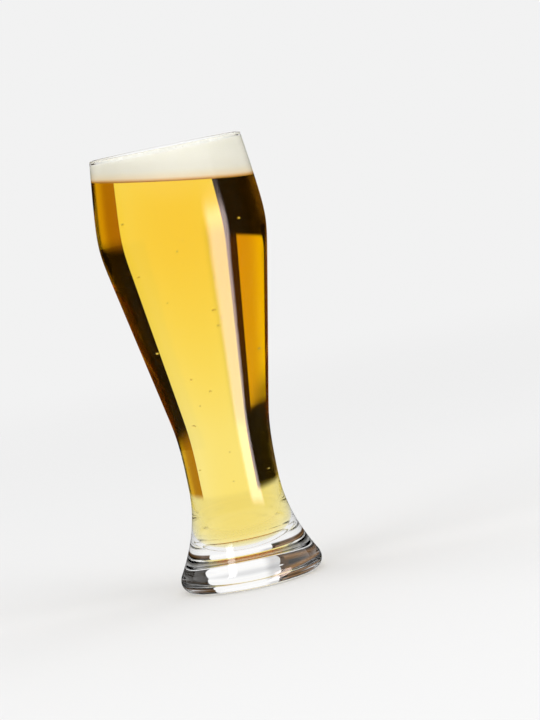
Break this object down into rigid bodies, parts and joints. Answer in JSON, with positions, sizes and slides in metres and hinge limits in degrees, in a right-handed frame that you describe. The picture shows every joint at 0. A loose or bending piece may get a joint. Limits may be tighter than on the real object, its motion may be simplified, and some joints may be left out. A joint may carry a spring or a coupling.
{
  "type": "wheat beer glass",
  "caption": "Tall wheat beer glass with a bulged top, a narrow waist and a thick clear foot, full of golden beer under a white head of foam.",
  "frame": {"origin": "centre of the foot's underside, in the plane of the ring that it stands on", "axes": "+Z along the glass's axis towards the rim; +X towards the side where the beer's surface lies lower; +Y away from the picture's camera"},
  "size_m": [0.0718, 0.0718, 0.188],
  "materials": {
    "clear_glass": "fire-polished, clear, smooth",
    "golden_beer": "clear golden liquid",
    "white_foam": "matte, fine creamy froth",
    "bubble_gas": "clear gas, shiny at its edge"
  },
  "bodies": {
    "glass": {"glass": "clear_glass"},
    "drink": {"beer": "golden_beer", "rising_bubbles": "bubble_gas", "clinging_bubbles": "bubble_gas"},
    "head": {"foam_head": "white_foam"}
  },
  "joints": [
    {"name": "drink_swirl", "type": "hinge", "parent": "glass", "child": "drink", "pos_m": [0, 0, 0.1], "axis": [0, 0, 1], "continuous": true},
    {"name": "head_tilt", "type": "hinge", "parent": "drink", "child": "head", "pos_m": [0, 0, 0.171], "axis": [0, 1, 0], "range_deg": [-8.9, 6], "stiffness_Nm_per_rad": 0.009, "springref_deg": -8.9, "deforming": ["foam_head", "beer"]}
  ]
}
